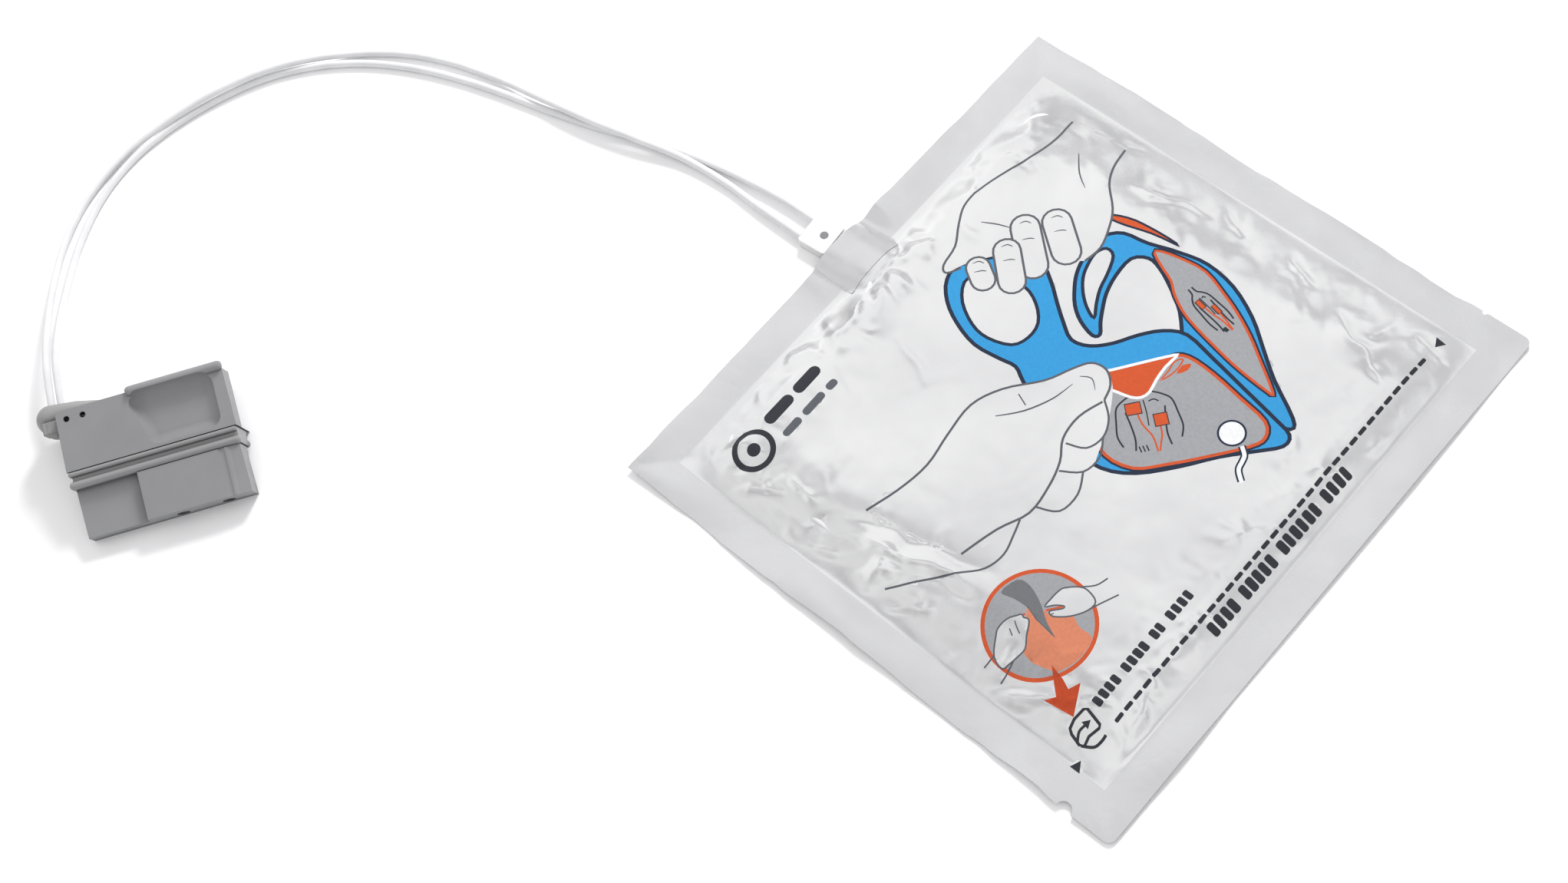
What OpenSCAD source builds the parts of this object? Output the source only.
// Sealed foil pouch of preconnected defibrillation pads, with its two leads and plug.
// +X runs along the tear edge, +Y towards the lead edge, +Z up off the table.

/* [Pouch] */
// Width of the pouch along its tear edge
pouch_w = 240; // [234:1:250]
// Length of the pouch from the tear edge to the lead edge
pouch_l = 227.5; // [227:0.5:232]
// Thickness of one foil film
film_t = 0.25; // [0.2:0.05:0.3]
// Width of the heat seals down the two sides and across the lead edge
seal_w = 14.5; // [12:0.5:14.5]
// Height that the front film keeps above the back film, so that the pads slide out
lift = 6; // [6:0.1:7]
// Extra crown of the front film over the middle of the pads
crown = 1.2; // [0:0.1:2]
// Distance of the tear line from the tear edge
tear_in = 26; // [25:0.5:27]

/* [Pads] */
// Width of one pad
pad_w = 132; // [110:1:140]
// Length of one pad
pad_l = 106; // [90:1:110]
// Corner radius of one pad
pad_r = 16; // [8:1:24]
// Thickness of the foam backing
foam_t = 0.6; // [0.4:0.1:0.6]
// Thickness of the hydrogel
gel_t = 0.5; // [0.3:0.1:0.5]

/* [Carrier] */
// Width of the folded carrier that both pads are stuck on
carrier_w = 146; // [140:1:148]
// Length of the folded carrier, from its fold to its free edges
carrier_l = 160; // [158:1:162]
// Thickness of one leaf of the carrier
leaf_t = 0.25; // [0.15:0.05:0.25]

/* [Leads] */
// Diameter of one lead wire
lead_d = 3; // [2.6:0.1:3.2]

/* [Plug] */
// Thickness of the plug's mating end
plug_t = 9.5; // [9.5:0.5:11]
// Tilt of the plug's front face, where it rests on its deep rear cover
plug_tilt = 18; // [18:1:20]
// Bore radius of the brass contact sockets
socket_r = 1.5; // [1.2:0.1:1.6]

/* [Hidden] */
$fn = 48;

// ---- The pouch's outline ----
edge_x = pouch_w / 2;
edge_y = pouch_l / 2;
seal_x = edge_x - seal_w;
seal_y = edge_y - seal_w;
tear_y = tear_in - edge_y;
tear_seal_y = tear_y - 12;
notch_y = tear_y - 6;
notch_start_x = seal_x - 2;
notch_r = 3;
nick_r = 1;
corner_r = 3;
side_ramp = 30;
end_ramp = 14;
fitment_half_w = 13;
fitment_h = 4.4;

// Hand-chosen grid lines of the film, closer where it bends
cols_half = [4, 8, 11, 13.5, 30, 45, 60, 75, 84, 90, 95, 100, seal_x, edge_x];
cols = concat([for (i = [len(cols_half) - 1:-1:0]) -cols_half[i]], [0], cols_half);
follow = [[0, 1], [1, 1], [2, 1], [3, 1]];
main_rows = concat(
    [for (f = follow) [tear_y + f[0], f[1]]],
    [for (y = [-74, -55, -30, 0, 30, 55, 72, 84, 88, 92, 95, seal_y, 104, edge_y]) [y, 0]]
);
strip_rows = concat(
    [for (d = [0, 0.4, 1.2, corner_r]) [d - edge_y, 0]],
    [[tear_seal_y, 0], [tear_y - 8, 0.5], [tear_y - 5, 0.8]],
    [for (i = [3:-1:0]) [tear_y - follow[i][0], 1]]
);

// The tear line runs straight, then turns down to the notches in the side seals.
function tear_dip(x) =
    max(0, abs(x) - notch_start_x) / (edge_x - notch_start_x) * (notch_y - tear_y);
function bite(d, r) = d < r ? sqrt(r * r - d * d) : 0;
function corner_cut(y) =
    let (d = y + edge_y) d < corner_r ? corner_r - sqrt(corner_r * corner_r - pow(corner_r - d, 2)) : 0;
function side_x(x, y) =
    abs(x) < edge_x ? x
    : sign(x) * (edge_x - bite(abs(y - notch_y), x < 0 ? notch_r : nick_r) - corner_cut(y));
function grid_point(x, row) =
    let (y = row[0] + row[1] * tear_dip(x)) [side_x(x, y), y];

// Height of the front film's inner face
function ramp(t) = sin(90 * min(1, max(0, t)));
function over_contents(x, y) =
    ramp((seal_x - abs(x)) / side_ramp)
    * ramp((seal_y - y) / end_ramp)
    * ramp((y - tear_seal_y) / 12);
function middle_crown(x, y) =
    pow(max(0, cos(90 * x / seal_x)), 1.5) * max(0, sin(180 * (y - tear_y) / (seal_y - tear_y)));
function over_fitment(x, y) =
    let (u = abs((x - yoke_x) * cos(yoke_turn) + (y - edge_y) * sin(yoke_turn)) / (fitment_half_w + 1))
    (fitment_h + 0.3) * max(0, 1 - pow(u, 3)) * ramp((y - 86) / 9);
function film_z(x, y) =
    film_t + max(lift * over_contents(x, y) + crown * middle_crown(x, y), over_fitment(x, y));

// A film as a closed skin between two heights, on rows that follow the grid
function skin_points(xs, rows, lo, hi) = [
    for (z = [lo, hi]) for (row = rows) for (x = xs)
        let (p = grid_point(x, row)) [p[0], p[1], film_z(p[0], p[1]) + z]
];
function skin_faces(nx, ny) =
    let (top = nx * ny) concat(
        [for (j = [0:ny - 2]) for (i = [0:nx - 2]) let (a = j * nx + i) each [
            [a, a + 1, a + nx + 1], [a, a + nx + 1, a + nx],
            [top + a, top + a + nx + 1, top + a + 1], [top + a, top + a + nx, top + a + nx + 1]
        ]],
        [for (i = [0:nx - 2]) let (a = i, b = (ny - 1) * nx + i) each [
            [a, top + a, top + a + 1], [a, top + a + 1, a + 1],
            [b, b + 1, top + b + 1], [b, top + b + 1, top + b]
        ]],
        [for (j = [0:ny - 2]) let (a = j * nx, b = j * nx + nx - 1) each [
            [a, a + nx, top + a + nx], [a, top + a + nx, top + a],
            [b, top + b, top + b + nx], [b, top + b + nx, b + nx]
        ]]
    );
module film_skin(xs, rows, lo, hi) {
    polyhedron(skin_points(xs, rows, lo, hi), skin_faces(len(xs), len(rows)), convexity = 4);
}

// Outline of a flat film that lies under the same grid
function rim(rows) = concat(
    [for (x = cols) grid_point(x, rows[0])],
    [for (j = [1:len(rows) - 1]) grid_point(edge_x, rows[j])],
    [for (i = [len(cols) - 2:-1:0]) grid_point(cols[i], rows[len(rows) - 1])],
    [for (j = [len(rows) - 2:-1:1]) grid_point(-edge_x, rows[j])]
);
module flat_film(rows) {
    linear_extrude(film_t) polygon(rim(rows));
}

module pouch_back_film() {
    color("silver") flat_film(main_rows);
}
module pouch_front_film() {
    color("gainsboro") film_skin(cols, main_rows, 0, film_t);
}
module tear_strip_back_film() {
    color("silver") flat_film(strip_rows);
}
module tear_strip_front_film() {
    color("gainsboro") film_skin(cols, strip_rows, 0, film_t);
}
patch_cols = [-13.5, -11, -8, -4, 0, 4, 8, 11, 13.5];
patch_rows = [[95, 0], [seal_y, 0], [104, 0], [edge_y, 0]];
module port_patch() {
    color("whitesmoke") film_skin(patch_cols, patch_rows, film_t, film_t + 0.15);
}

// ---- Yoke and port, in a frame of their own turned a little from the lead edge ----
yoke_x = -1.1;
yoke_turn = 5;
yoke_w = 14;
yoke_l = 13.4;
yoke_z = 2.4;
yoke_t = 4.6;
yoke_gap = 0.5;
yoke_neck_w = 12.8;
yoke_neck_l = 0.9;
yoke_neck_t = 3.8;
fitment_l = 14.4;
yoke_pin_y = 5.4;
yoke_pin_r = 1.6;
lead_r = lead_d / 2;
lead_pitch = 8.6;
lead_bore_r = lead_r + 0.1;
lead_socket_r = lead_r + 0.3;
lead_socket_l = 3;
module at_yoke() {
    translate([yoke_x, edge_y, 0]) rotate([0, 0, yoke_turn]) children();
}
module lead_holes(r, y0, y1) {
    for (side = [-1, 1])
        translate([side * lead_pitch / 2, y0, yoke_z]) rotate([-90, 0, 0]) cylinder(r = r, h = y1 - y0);
}
fitment_profile = concat(
    [for (i = [-10:10]) let (u = i / 10)
        [u * fitment_half_w, film_t + 0.05 + fitment_h * (1 - pow(abs(u), 3))]]
);
module port_fitment() {
    color("white") at_yoke() difference() {
        translate([0, -yoke_neck_l, 0]) rotate([90, 0, 0])
            linear_extrude(fitment_l) polygon(fitment_profile);
        lead_holes(lead_bore_r, -17, 1);
    }
}
// The yoke's body outside the pouch, with a neck that reaches in to the fitment
module lead_yoke() {
    color("white") at_yoke() difference() {
        union() {
            translate([0, 0, yoke_z - yoke_t / 2]) linear_extrude(yoke_t)
                polygon(round_rect(-yoke_w / 2, yoke_gap, yoke_w / 2, yoke_l, 1.2));
            translate([-yoke_neck_w / 2, -yoke_neck_l, yoke_z - yoke_neck_t / 2])
                cube([yoke_neck_w, yoke_neck_l + 3, yoke_neck_t]);
        }
        lead_holes(lead_bore_r, -2, yoke_l);
        lead_holes(lead_socket_r, yoke_l - lead_socket_l, yoke_l + 1);
        translate([0, yoke_pin_y, -1]) cylinder(r = yoke_pin_r, h = 10);
    }
}
module yoke_pin() {
    color("darkgray") at_yoke() translate([0, yoke_pin_y, yoke_z - yoke_t / 2])
        cylinder(r = yoke_pin_r - 0.02, h = yoke_t + 0.05);
}

// ---- Carrier and pads, stacked about the middle of the pouch ----
stack_z = 3.05;
fold_gap = 0.1;
fold_y = tear_y + 4;
pad_end_y = fold_y + carrier_l - 2;
pad_y = pad_end_y - pad_l / 2;
leaf_z = stack_z + fold_gap / 2;
gel_z = leaf_z + leaf_t;
tin_t = 0.08;
tin_z = gel_z + gel_t;
foam_z = tin_z + tin_t;
label_t = 0.12;
label_z = foam_z + foam_t;
cover_z = label_z + label_t;
cover_t = 1.1;
terminal_x = 45;
terminal_y = pad_end_y - 9;
terminal_hole_r = 2.5;

function arc(cx, cy, r, a0, a1, n = 8) = [for (i = [0:n]) let (a = a0 + (a1 - a0) * i / n)
    [cx + r * cos(a), cy + r * sin(a)]];
function round_rect(x0, y0, x1, y1, r) = concat(
    arc(x1 - r, y1 - r, r, 0, 90), arc(x0 + r, y1 - r, r, 90, 180),
    arc(x0 + r, y0 + r, r, 180, 270), arc(x1 - r, y0 + r, r, 270, 360)
);
function pad_outline(inset) = round_rect(
    inset - pad_w / 2, pad_end_y - pad_l + inset, pad_w / 2 - inset, pad_end_y - inset, pad_r - inset
);

// The upper pad faces up. The lower one is the same pad, turned over about the Y axis.
module turned_over() {
    translate([0, 0, 2 * stack_z]) rotate([0, 180, 0]) children();
}
module pad_sheet(z, t, inset) {
    translate([0, 0, z]) linear_extrude(t) difference() {
        polygon(pad_outline(inset));
        translate([terminal_x, terminal_y]) circle(r = terminal_hole_r);
    }
}
module pad_gel() {
    translate([0, 0, gel_z]) linear_extrude(gel_t) polygon(pad_outline(4));
}
module pad_conductor() {
    translate([0, 0, tin_z]) linear_extrude(tin_t) polygon(pad_outline(8));
}
module pad_foam() {
    pad_sheet(foam_z, foam_t, 0);
}
module pad_label() {
    pad_sheet(label_z, label_t, 1.5);
}
module pad_rivet() {
    translate([terminal_x, terminal_y, foam_z]) cylinder(r = 2.3, h = foam_t + label_t);
}
// Disc over the rivet, and the moulded block past the pad's edge that the lead enters
cover_r = 7;
cover_block_x0 = -5;
cover_block_x1 = 7;
cover_block_y = pad_end_y + 0.4;
cover_block_l = 6.6;
cover_block_z = 0.5;
lead_entry_y = cover_block_y + cover_block_l / 2;
module terminal_cover() {
    union() {
        translate([terminal_x, terminal_y, cover_z]) cylinder(r = cover_r, h = cover_t);
        translate([terminal_x - 3, terminal_y, cover_z]) cube([6, 12, cover_t]);
        translate([terminal_x + cover_block_x0, cover_block_y, cover_block_z])
            cube([cover_block_x1 - cover_block_x0, cover_block_l, cover_z + cover_t - cover_block_z]);
    }
}
module peel_tab() {
    translate([0, 0, foam_z + foam_t + label_t]) linear_extrude(0.12) polygon([
        [-pad_w / 2 + 2, pad_end_y - pad_l + 22], [-pad_w / 2 - 4, pad_end_y - pad_l + 14],
        [-pad_w / 2 - 2, pad_end_y - pad_l - 2], [-pad_w / 2 + 14, pad_end_y - pad_l - 4],
        [-pad_w / 2 + 22, pad_end_y - pad_l + 2]
    ]);
}
module upper_pad_gel() {
    color("lightcyan") pad_gel();
}
module upper_pad_conductor() {
    color("lightgray") pad_conductor();
}
module upper_pad_foam() {
    color("white") pad_foam();
}
module upper_pad_label() {
    color("darkgray") pad_label();
}
module upper_pad_rivet() {
    color("silver") pad_rivet();
}
module upper_terminal_cover() {
    color("white") terminal_cover();
}
module upper_peel_tab() {
    color("orangered") peel_tab();
}
module lower_pad_gel() {
    color("lightcyan") turned_over() pad_gel();
}
module lower_pad_conductor() {
    color("lightgray") turned_over() pad_conductor();
}
module lower_pad_foam() {
    color("white") turned_over() pad_foam();
}
module lower_pad_label() {
    color("darkgray") turned_over() pad_label();
}
module lower_pad_rivet() {
    color("silver") turned_over() pad_rivet();
}
module lower_terminal_cover() {
    color("white") turned_over() terminal_cover();
}
module lower_peel_tab() {
    color("orangered") turned_over() peel_tab();
}

// Two leaves joined by a half-round fold, with a pair of finger loops behind the fold
loop_y = fold_y + 22;
loop_x0 = 6;
loop_x1 = 56;
loop_half_h = 12;
notch_gap = 0.4;
module leaf_outline() {
    difference() {
        polygon(concat(
            [[-carrier_w / 2, fold_y + 34], [-64, fold_y + 6], [-58, fold_y]],
            [[58, fold_y], [64, fold_y + 6], [carrier_w / 2, fold_y + 34]],
            arc(carrier_w / 2 - 10, fold_y + carrier_l - 10, 10, 0, 90),
            arc(10 - carrier_w / 2, fold_y + carrier_l - 10, 10, 90, 180)
        ));
        for (side = [-1, 1]) scale([side, 1]) {
            polygon(round_rect(loop_x0, loop_y - loop_half_h, loop_x1, loop_y + loop_half_h, 10));
            // notch in the free edge for the block that the lead enters
            translate([terminal_x + cover_block_x0 - notch_gap, cover_block_y - notch_gap])
                square([cover_block_x1 - cover_block_x0 + 2 * notch_gap, cover_block_l]);
        }
    }
}
fold_out_r = fold_gap / 2 + leaf_t;
module release_carrier() {
    color("dodgerblue") union() {
        translate([0, 0, leaf_z]) linear_extrude(leaf_t) leaf_outline();
        translate([0, 0, leaf_z - fold_gap - leaf_t]) linear_extrude(leaf_t) leaf_outline();
        translate([-58, fold_y + 0.01, stack_z]) rotate([0, 90, 0]) difference() {
            cylinder(r = fold_out_r, h = 116);
            translate([0, 0, -1]) cylinder(r = fold_gap / 2, h = 118);
            translate([-1, 0, -1]) cube([2, 2, 118]);
        }
    }
}

// ---- Inner leads: flat loops beside the carrier, from the port to the pads ----
run_y = 90;
bend_r = 7;
outer_run_x = 92;
inner_run_x = outer_run_x - 2 * bend_r;
turn_y = -38;
// A point in the port's own turned frame, on the table's axes
function port_point(u, v) = [
    yoke_x + u * cos(yoke_turn) - v * sin(yoke_turn),
    edge_y + u * sin(yoke_turn) + v * cos(yoke_turn)
];
// side is 1 for the apex lead, on the right, and -1 for the sternum lead
function inner_route(side) =
    let (u = side * lead_pitch / 2, start_x = side * port_point(u, run_y + bend_r - edge_y)[0])
    concat(
        [port_point(u, yoke_l - lead_socket_l), port_point(u, 0), port_point(u, -14)],
        [for (q = concat(
            arc(start_x + bend_r, run_y + bend_r, bend_r, 180, 270),
            arc(outer_run_x - bend_r, run_y - bend_r, bend_r, 90, 0),
            arc(outer_run_x - bend_r, turn_y, bend_r, 0, -180, 14),
            arc(inner_run_x - bend_r, lead_entry_y - bend_r, bend_r, 0, 90),
            [[terminal_x + cover_block_x1, lead_entry_y]]
        )) [side * q[0], q[1]]]
    );
module apex_inner_lead() {
    color("white") swept_lead([for (q = inner_route(1)) [q[0], q[1], yoke_z]]);
}
module sternum_inner_lead() {
    color("white") swept_lead([for (q = inner_route(-1)) [q[0], q[1], yoke_z]]);
}

// ---- Outer leads: from the plug's strain relief, along the table, to the yoke ----
sternum_route = [
    [-244.6, 304.4, 9.9], [-232, 321.5, 13.2], [-219, 338.5, 9.6], [-204.5, 354.5, 5],
    [-188, 368, 2.1], [-168.5, 376.5, 1.6], [-146.5, 379, 2.4], [-125.5, 375.5, 3.9],
    [-104.5, 369.5, 4.5], [-84.5, 360.5, 4.4], [-66.5, 348.5, 3.4], [-51, 333.5, 1.9],
    [-38.5, 315.5, 1.6], [-30, 295, 1.6], [-25, 273.5, 2.5], [-22, 252, 4.2],
    [-18.5, 231, 4.9], [-13.5, 210, 4.4], [-8, 189, 2.6], [-6, 167, 1.9],
    [-6.5, 145.5, 2.2], [-6.3, 123.8, 2.4]
];
apex_route = [
    [-241.4, 302.3, 9.9], [-228.8, 319.4, 13.1], [-215.5, 335, 9.6], [-201, 349.5, 4.9],
    [-184.5, 362.5, 2.2], [-165, 371.5, 1.6], [-144.5, 375, 1.6], [-123.5, 373, 1.6],
    [-102.5, 367, 1.6], [-83.5, 358, 1.6], [-67, 345, 1.6], [-53.5, 329, 1.6],
    [-43, 310.5, 1.6], [-35, 290.5, 1.6], [-29, 270, 1.6], [-24, 249.5, 1.6],
    [-18, 228.5, 1.6], [-11, 208.5, 1.6], [-5, 188, 1.6], [-1, 167, 1.9],
    [1.5, 146, 2.3], [2.3, 124.5, 2.4]
];
lead_sides = 8;
function spline(a, b, c, d, t) =
    0.5 * (2 * b + (c - a) * t + (2 * a - 5 * b + 4 * c - d) * t * t + (3 * b - a - 3 * c + d) * t * t * t);
function smooth_path(p) = concat(
    [for (i = [0:len(p) - 2]) for (t = [0, 0.5])
        spline(p[max(0, i - 1)], p[i], p[i + 1], p[min(len(p) - 1, i + 2)], t)],
    [p[len(p) - 1]]
);
function unit(v) = v / norm(v);
function heading(q, i) = unit(q[min(len(q) - 1, i + 1)] - q[max(0, i - 1)]);
function ring(q, i) =
    let (h = heading(q, i), side = unit(cross([0, 0, 1], h)), rise = cross(h, side))
    [for (k = [0:lead_sides - 1]) let (a = 360 * k / lead_sides)
        q[i] + lead_r * (cos(a) * side + sin(a) * rise)];
module swept_lead(q) {
    n = len(q);
    points = [for (i = [0:n - 1]) each ring(q, i)];
    walls = [for (i = [0:n - 2]) for (k = [0:lead_sides - 1])
        let (a = i * lead_sides + k, b = i * lead_sides + (k + 1) % lead_sides) each [
            [a, b + lead_sides, b], [a, a + lead_sides, b + lead_sides]
        ]];
    start_cap = [for (k = [1:lead_sides - 2]) [0, k, k + 1]];
    last = (n - 1) * lead_sides;
    end_cap = [for (k = [1:lead_sides - 2]) [last, last + k + 1, last + k]];
    polyhedron(points, concat(walls, start_cap, end_cap), convexity = 10);
}
module sternum_lead() {
    color("white") swept_lead(smooth_path(sternum_route));
}
module apex_lead() {
    color("white") swept_lead(smooth_path(apex_route));
}

// ---- Plug, drawn with its mating end down (y = 0) and its front face up (+z) ----
plug_origin = [-240, 237, 0];
plug_turn = -34.5;
wall = 1.6;
split_z = 2;
neck_y = 19;
body_y = 50;
mate_x0 = -34.7;
mate_x1 = 30.4;
body_x0 = -36.6;
body_x1 = 30.6;
seal_gap = 0.02;
cavity_x0 = -30.8;
cavity_x1 = 27.8;
cavity_y1 = body_y - wall;
shallow_top = plug_t - 4.2;
deep_top = plug_t - wall;
module at_plug() {
    translate(plug_origin) rotate([0, 0, plug_turn]) rotate([plug_tilt, 0, 0]) children();
}
// Height of the table under the tilted plug, in the plug's own frame
function table_z(y) = -y * tan(plug_tilt);
module plug_outline(grow = 0) {
    polygon([
        [mate_x0 - grow, -grow], [mate_x1 + grow, -grow],
        [mate_x1 - 0.6 + grow, neck_y + 3], [body_x1 + grow, neck_y + 3],
        [body_x1 - 0.5 + grow, body_y - 1], [body_x1 - 1.5 + grow, body_y + grow],
        [body_x0 + 1.6 - grow, body_y + grow], [body_x0 + 0.6 - grow, body_y - 1],
        [body_x0 - grow, neck_y + 3], [mate_x0 - 0.6 - grow, neck_y + 3]
    ]);
}
module side_profile(points, x0, x1) {
    translate([x0, 0, 0]) rotate([90, 0, 90]) linear_extrude(x1 - x0) polygon(points);
}
module front_profile(points, y0, y1) {
    translate([0, y1, 0]) rotate([90, 0, 0]) linear_extrude(y1 - y0) polygon(points);
}

// The waist, where the seal sits in a seat round both shells
seat_y0 = 19;
seat_y1 = 26.2;
core_x0 = -34.4;
core_x1 = 29.4;
core_z0 = -3;
core_z1 = deep_top;
module waist_core(gap) {
    translate([core_x0 - gap, seat_y0 - 1, core_z0 - gap])
        cube([core_x1 - core_x0 + 2 * gap, seat_y1 - seat_y0 + 2, core_z1 - core_z0 + 2 * gap]);
}
module waist_seat() {
    difference() {
        translate([-50, seat_y0, -30]) cube([100, seat_y1 - seat_y0, 60]);
        waist_core(0);
    }
}
// One rounded rib along the front, left and back of the waist; it ends flush with the right side
module bead(y, r, out) {
    x0 = core_x0 - out;
    x1 = core_x1 - 0.2;
    z0 = core_z0 - out;
    z1 = core_z1 + out;
    for (z = [z0, z1]) {
        translate([x0, y, z]) rotate([0, 90, 0]) cylinder(r = r, h = x1 - x0);
        for (x = [x0, x1])
            translate([x, y, z]) sphere(r = r + 0.04);
    }
    translate([x0, y, z0]) cylinder(r = r, h = z1 - z0);
}
band_out = 0.7;
module waist_seal() {
    color("darkgray") at_plug() difference() {
        union() {
            bead(20.7, 1.6, 0.7);
            bead(25, 1.05, 0.9);
            translate([core_x0 - band_out, seat_y0 + 0.7, core_z0 - band_out])
                cube([core_x1 - core_x0 + 2 * band_out, 6, core_z1 - core_z0 + 2 * band_out]);
        }
        waist_core(seal_gap);
    }
}

// Left of the step the mating end is thinner; its right edge has a valley and a bevel.
step_x = -10.4;
step_depth = 3;
bevel_profile = [
    [24.6, plug_t + 1], [24.6, plug_t - 0.04], [26, plug_t - 0.6], [34, plug_t - 1.2], [34, plug_t + 1]
];
// Finger pocket under the grip rim
pocket_r = 5;
pocket_depth = 3;
module finger_pocket() {
    hull() {
        for (p = [[21, 32], [21, 44.4], [-3, 44.4], [1, 32]])
            translate([p[0], p[1], plug_t - pocket_depth + pocket_r]) sphere(r = pocket_r, $fn = 32);
    }
}
rim_r = 1.95;
rim_l = 38.4;
module grip_rim() {
    translate([-7.9, body_y + 0.1, plug_t]) rotate([0, 90, 0]) rotate_extrude()
        polygon(concat(
            [[0, 0], [1.2, 0.25], [1.7, 0.8], [rim_r, 1.7]],
            [[rim_r, rim_l - 1.7], [1.7, rim_l - 0.8], [1.2, rim_l - 0.25], [0, rim_l]]
        ));
}
peep_hole_x = [-32, -25.6];
peep_hole_r = 1.15;
peep_hole_l = 3;
module plug_front_shell() {
    color("gray") at_plug() difference() {
        union() {
            translate([0, 0, split_z]) linear_extrude(plug_t - split_z) plug_outline();
            grip_rim();
        }
        translate([cavity_x0, wall, split_z - 1])
            cube([cavity_x1 - cavity_x0, cavity_y1 - wall, shallow_top - split_z + 1]);
        translate([step_x + wall, wall, split_z - 1])
            cube([cavity_x1 - step_x - wall, 16.8, deep_top - split_z + 1]);
        translate([cavity_x0, 28, split_z - 1]) cube([20, cavity_y1 - 28, deep_top - split_z + 1]);
        translate([mate_x0 - 3, -1, plug_t - step_depth])
            cube([step_x - mate_x0 + 3, neck_y + 1.1, step_depth + 1]);
        translate([22.6, -1, plug_t + 1.7]) rotate([-90, 0, 0]) cylinder(r = 2.2, h = neck_y + 1.1);
        front_profile(bevel_profile, -1, neck_y + 0.1);
        finger_pocket();
        for (x = peep_hole_x)
            translate([x, 46.4, plug_t - peep_hole_l]) cylinder(r = peep_hole_r, h = peep_hole_l + 1);
        waist_seat();
        contact_mouth();
        relief_gate(0);
    }
}
rear_profile = [
    [0, 0], [neck_y - 1, 0], [neck_y + 1, table_z(neck_y + 1) + 0.02],
    [body_y - 3.5, table_z(body_y - 3.5) + 0.02], [body_y, table_z(body_y) + 4],
    [body_y, split_z], [0, split_z]
];
mate_floor = 1.2;
rear_cavity = [
    [wall, mate_floor], [19.4, mate_floor], [20.6, core_z0 + wall], [27.6, core_z0 + wall],
    [28.2, table_z(28.2) + wall + 0.1], [body_y - 4, table_z(body_y - 4) + wall + 0.1],
    [cavity_y1, table_z(body_y) + 5.6], [cavity_y1, split_z + 1], [wall, split_z + 1]
];
board_z = core_z0 + wall;
// The rear shell's right side leans in towards the table behind the waist
lean = 0.36;
lean_drop = split_z + 28;
module right_of_lean(inset) {
    front_profile([
        [body_x1 - inset, split_z + 0.1], [body_x1 + 10, split_z + 0.1],
        [body_x1 + 10, split_z - lean_drop], [body_x1 - inset - lean * lean_drop, split_z - lean_drop]
    ], seat_y1 + 0.01, body_y + 5);
}
module plug_rear_shell() {
    color("gray") at_plug() difference() {
        intersection() {
            side_profile(rear_profile, body_x0 - 2, mate_x1 + 1);
            translate([0, 0, -30]) linear_extrude(40) plug_outline();
        }
        right_of_lean(0);
        difference() {
            side_profile(rear_cavity, cavity_x0, cavity_x1);
            translate([-20, 40, -30]) cube([34, 2, board_z + 30]);
            right_of_lean(wall + 0.3);
        }
        waist_seat();
        contact_mouth();
    }
}

// Strain relief round the top left corner, with a neck through the shells' side wall
relief_x = -41;
relief_spots = [
    [relief_x, 49.4, -6.6, 5.8], [relief_x, 50.4, -1.5, 5.8],
    [-32, 51.6, -4, 4.2], [-18, 50.6, -4, 2]
];
gate_y0 = 43.2;
gate_y1 = 48.2;
gate_z0 = 2.4;
gate_z1 = 6.2;
module relief_gate(gap) {
    translate([relief_x, gate_y0 + gap, gate_z0 + gap])
        cube([relief_neck_l, gate_y1 - gate_y0 - 2 * gap, gate_z1 - gate_z0 - 2 * gap]);
}
relief_neck_l = 10.4;
lead_out_x = [-42, -38.2];
lead_out_y = 53.4;
lead_out_z = -7;
module plug_strain_relief() {
    color("dimgray") at_plug() difference() {
        union() {
            difference() {
                hull() {
                    for (s = relief_spots)
                        translate([s[0], s[1], s[2]]) sphere(r = s[3], $fn = 32);
                }
                translate([0, 0, -30]) linear_extrude(50) plug_outline(seal_gap);
            }
            translate([relief_x - 2, gate_y0 + 0.1, 0]) cube([4, gate_y1 - gate_y0 - 0.2, gate_z1 - 0.2]);
            relief_gate(0.1);
        }
        for (x = lead_out_x)
            translate([x, lead_out_y, lead_out_z]) rotate([-90, 0, 0]) cylinder(r = lead_socket_r, h = 12);
        for (y = plug_wire_y)
            translate([relief_x + 1, y, contact_z]) rotate([0, 90, 0]) cylinder(r = wire_r + 0.05, h = relief_neck_l + 0.6);
    }
}

// ---- Inside the plug ----
wire_r = 0.9;
plug_wire_y = [44.5, 46.9];
contact_x = [2, 20];
contact_z = 4.3;
sleeve_r = socket_r + 0.7;
module contact_mouth() {
    for (x = contact_x)
        translate([x, -1, contact_z]) rotate([-90, 0, 0]) cylinder(r = sleeve_r + 0.3, h = wall + 2);
}
module contact_block() {
    color("dimgray") at_plug() difference() {
        translate([-6, wall + 0.1, mate_floor]) cube([33.2, 13, deep_top - mate_floor]);
        for (x = contact_x)
            translate([x, 0, contact_z]) rotate([-90, 0, 0]) cylinder(r = sleeve_r + 0.02, h = 20);
    }
}
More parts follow.
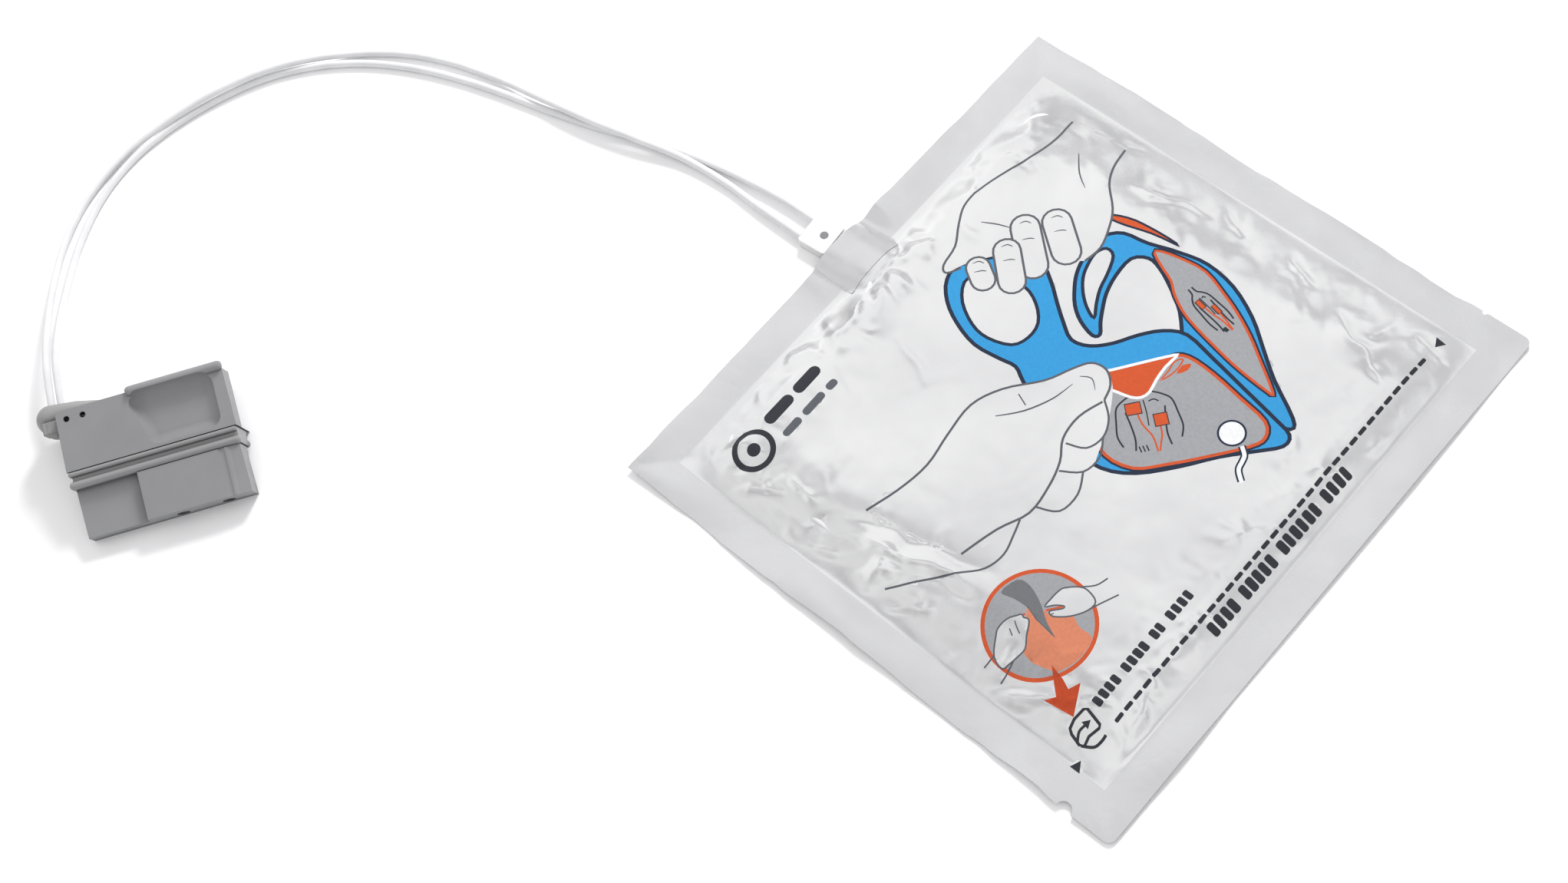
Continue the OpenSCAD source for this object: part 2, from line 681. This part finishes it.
// Brass sleeve with a blind bore for the contact pin, and a crimp for the wire behind it
socket_y = 0.6;
socket_depth = 12;
module contact_socket(x) {
    color("goldenrod") at_plug() translate([x, socket_y, contact_z]) rotate([-90, 0, 0]) difference() {
        union() {
            cylinder(r = sleeve_r, h = 14);
            cylinder(r = wire_r + 0.5, h = 17);
        }
        translate([0, 0, -1]) cylinder(r = socket_r, h = socket_depth + 1);
        translate([0, 0, 15]) cylinder(r = wire_r + 0.02, h = 5);
    }
}
module sternum_contact_socket() {
    contact_socket(contact_x[0]);
}
module apex_contact_socket() {
    contact_socket(contact_x[1]);
}
wire_bend = 3;
wire_start_x = relief_x + 4.5;
wire_end_y = 16;
module plug_wire(x, y) {
    color("white") at_plug() union() {
        translate([wire_start_x, y, contact_z]) rotate([0, 90, 0])
            cylinder(r = wire_r, h = x - wire_bend - wire_start_x);
        translate([x - wire_bend, y - wire_bend, contact_z]) rotate_extrude(angle = 90)
            translate([wire_bend, 0]) circle(r = wire_r);
        translate([x, wire_end_y, contact_z]) rotate([-90, 0, 0])
            cylinder(r = wire_r, h = y - wire_bend - wire_end_y);
    }
}
module sternum_plug_wire() {
    plug_wire(contact_x[0], plug_wire_y[0]);
}
module apex_plug_wire() {
    plug_wire(contact_x[1], plug_wire_y[1]);
}
board_t = 1.2;
module circuit_board() {
    color("seagreen") at_plug() translate([-28, 24, board_z]) cube([50, 18, board_t]);
}
module memory_chip() {
    color("black") at_plug() translate([-22, 29, board_z + board_t]) cube([9, 7, 1.4]);
}
module board_contacts() {
    color("gold") at_plug() for (i = [0:3])
        translate([-6 + 5 * i, 26, board_z + board_t]) cube([3, 6, 0.3]);
}

pouch_back_film();
pouch_front_film();
port_patch();
port_fitment();
tear_strip_back_film();
tear_strip_front_film();
release_carrier();
upper_pad_gel();
upper_pad_conductor();
upper_pad_foam();
upper_pad_label();
upper_pad_rivet();
upper_terminal_cover();
upper_peel_tab();
lower_pad_gel();
lower_pad_conductor();
lower_pad_foam();
lower_pad_label();
lower_pad_rivet();
lower_terminal_cover();
lower_peel_tab();
sternum_inner_lead();
apex_inner_lead();
lead_yoke();
yoke_pin();
sternum_lead();
apex_lead();
plug_strain_relief();
plug_front_shell();
plug_rear_shell();
waist_seal();
contact_block();
sternum_contact_socket();
apex_contact_socket();
sternum_plug_wire();
apex_plug_wire();
circuit_board();
memory_chip();
board_contacts();
